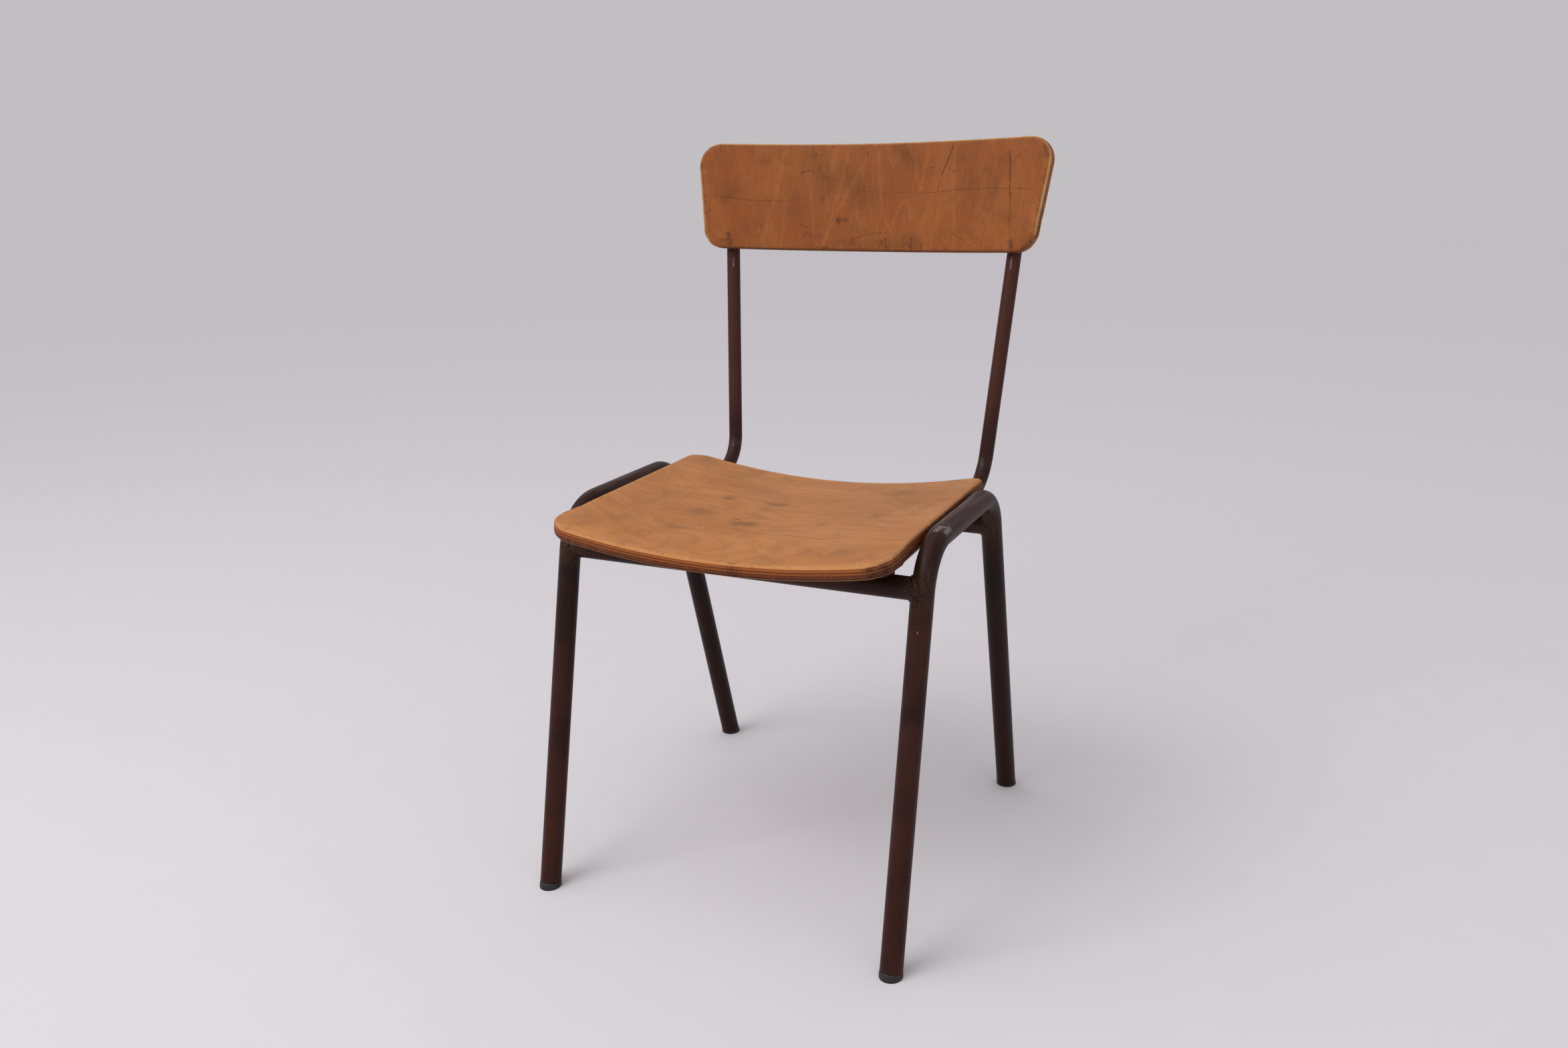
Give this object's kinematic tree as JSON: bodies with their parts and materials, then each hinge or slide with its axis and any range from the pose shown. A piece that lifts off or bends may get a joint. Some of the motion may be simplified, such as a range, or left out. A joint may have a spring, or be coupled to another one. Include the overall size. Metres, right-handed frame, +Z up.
{
  "type": "stacking chair",
  "caption": "Weathered stacking chair: brown-painted bent steel tube frame, dished plywood seat and a bowed plywood backboard, with worn varnish and scuffed paint.",
  "frame": {"origin": "centre of the bounding box's footprint, on the floor that the four glides stand on", "axes": "+Z up along the chair's height, -Y towards the front of the seat, +X towards the sitter's left"},
  "size_m": [0.4862, 0.5366, 0.8542],
  "materials": {
    "painted_tube": "semi-gloss dark brown paint, scuffed, worn grey on the bends and rail tops, with small rust spots",
    "seat_plywood": "satin varnish worn thin, pale orange-tan face ply with soft grey smudges, dark glue lines at the edge",
    "back_plywood": "satin varnish, orange-brown face ply with upright figure, scratched, with darker stains and worn pale edges",
    "black_plastic": "matte black, dusty and scuffed",
    "screw_steel": "dull steel, browned with rust"
  },
  "bodies": {
    "root": {"side_frame_left": "painted_tube", "side_frame_right": "painted_tube", "front_cross_rail": "painted_tube", "rear_cross_rail": "painted_tube", "back_upright_left": "painted_tube", "back_upright_right": "painted_tube", "seat_board": "seat_plywood", "back_board": "back_plywood", "front_glide_left": "black_plastic", "front_glide_right": "black_plastic", "rear_glide_left": "black_plastic", "rear_glide_right": "black_plastic", "upright_plug_left": "black_plastic", "upright_plug_right": "black_plastic", "seat_screw_left_1": "screw_steel", "seat_screw_left_2": "screw_steel", "seat_screw_right_1": "screw_steel", "seat_screw_right_2": "screw_steel", "back_screw_left_1": "screw_steel", "back_screw_left_2": "screw_steel", "back_screw_right_1": "screw_steel", "back_screw_right_2": "screw_steel"}
  },
  "joints": []
}
